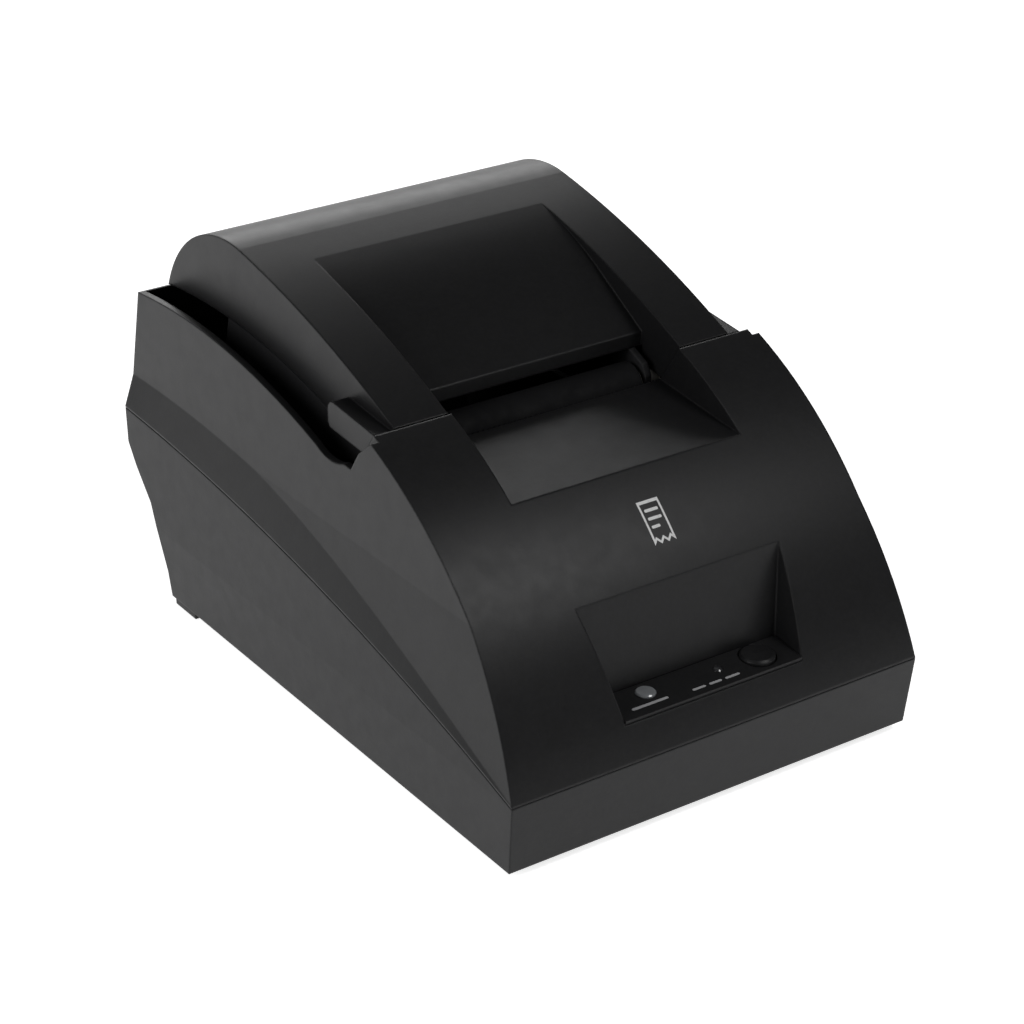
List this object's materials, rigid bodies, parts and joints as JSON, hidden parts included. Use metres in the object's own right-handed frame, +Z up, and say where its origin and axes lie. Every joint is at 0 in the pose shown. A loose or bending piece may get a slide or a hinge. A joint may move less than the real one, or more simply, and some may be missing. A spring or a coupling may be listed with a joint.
{
  "type": "receipt printer",
  "caption": "Compact clamshell thermal receipt printer with a curved black housing, hinged paper cover with a scooped top, feed button window and rear sockets.",
  "frame": {"origin": "centre of the bounding box's bottom face, at the level the rubber feet stand on", "axes": "+Z up, +Y to the back of the printer, +X to the right seen from the front"},
  "size_m": [0.1164, 0.1758, 0.1059],
  "materials": {
    "upper_case": "fine satin moulded texture",
    "lower_case": "fine satin moulded texture",
    "cover": "fine satin moulded texture",
    "cover_liner": "matte moulded",
    "control_panel": "satin",
    "feed_button": "satin",
    "power_lens": "clear diffusing light guide",
    "error_lens": "dark light guide",
    "circuit_board": "solder mask",
    "led_chips": "moulded epoxy",
    "switch_plastic": "satin",
    "internal_plastic": "matte moulded",
    "platen_rubber": "ground rubber",
    "steel": "ground",
    "bush_plastic": "natural acetal",
    "gear_plastic": "natural acetal",
    "brass": "machined",
    "sheet_metal": "zinc-coated sheet",
    "motor_can": "drawn can",
    "ceramic": "glazed ceramic",
    "aluminium": "extruded",
    "spring_steel": "drawn wire",
    "blade_steel": "blackened stamped edge",
    "chip_plastic": "moulded epoxy",
    "socket_metal": "tinned shell",
    "socket_plastic": "moulded",
    "rocker_plastic": "polished",
    "foot_rubber": "matte",
    "screw_steel": "zinc-plated"
  },
  "bodies": {
    "housing": {"upper_case": "upper_case", "lower_case": "lower_case", "control_panel": "control_panel", "power_lens": "power_lens", "error_lens": "error_lens", "panel_board": "circuit_board", "led_chips": "led_chips", "feed_switch": "switch_plastic", "panel_standoffs": "internal_plastic", "mechanism_frame": "sheet_metal", "idler_axle": "steel", "stepper_motor": "motor_can", "gear_cover": "internal_plastic", "head_axle": "steel", "head_springs": "spring_steel", "tear_bar": "blade_steel", "paper_bucket": "internal_plastic", "paper_sensor": "switch_plastic", "main_board": "circuit_board", "board_parts": "chip_plastic", "usb_socket": "socket_metal", "power_jack": "socket_plastic", "drawer_socket": "socket_plastic", "switch_housing": "switch_plastic", "rocker_pin": "steel", "hinge_pin_left": "steel", "hinge_pin_right": "steel", "rubber_feet": "foot_rubber", "case_screws": "screw_steel", "board_screws": "screw_steel", "frame_screws": "screw_steel"},
    "lid": {"cover": "cover", "cover_liner": "cover_liner", "liner_screws": "screw_steel", "platen_bush_left": "bush_plastic", "platen_bush_right": "bush_plastic"},
    "platen": {"platen_rubber": "platen_rubber", "platen_shaft": "steel", "platen_gear": "gear_plastic"},
    "idler": {"idler_gear": "gear_plastic"},
    "pinion": {"motor_pinion": "brass", "motor_shaft": "steel"},
    "button": {"feed_button": "feed_button"},
    "rocker": {"power_rocker": "rocker_plastic"},
    "head": {"print_head": "ceramic", "head_sink": "aluminium"}
  },
  "joints": [
    {"name": "lid_hinge", "type": "hinge", "parent": "housing", "child": "lid", "pos_m": [0, 0.0484, 0.0717], "axis": [-1, 0, 0], "range_deg": [0, 75]},
    {"name": "platen_spin", "type": "hinge", "parent": "lid", "child": "platen", "pos_m": [0, -0.0127, 0.0719], "axis": [1, 0, 0], "continuous": true},
    {"name": "idler_spin", "type": "hinge", "parent": "housing", "child": "idler", "pos_m": [0.0388, -0.0127, 0.0569], "axis": [1, 0, 0], "continuous": true},
    {"name": "pinion_spin", "type": "hinge", "parent": "housing", "child": "pinion", "pos_m": [0.0388, -0.02263, 0.0513], "axis": [1, 0, 0], "continuous": true},
    {"name": "feed_press", "type": "slide", "parent": "housing", "child": "button", "axis": [0, 0, -1], "range_m": [0, 0.0008], "stiffness_N_per_m": 400},
    {"name": "power_toggle", "type": "hinge", "parent": "housing", "child": "rocker", "pos_m": [0.035, 0.064, 0.018], "axis": [1, 0, 0], "range_deg": [0, 23.4]},
    {"name": "head_tilt", "type": "hinge", "parent": "housing", "child": "head", "pos_m": [0, -0.0222, 0.0642], "axis": [1, 0, 0], "range_deg": [0, 2], "stiffness_Nm_per_rad": 0.5, "deforming": ["head_springs"]}
  ],
  "couplings": [
    {"joint": "idler_spin", "follows": "platen_spin", "ratio": -0.92308},
    {"joint": "pinion_spin", "follows": "platen_spin", "ratio": 2}
  ]
}
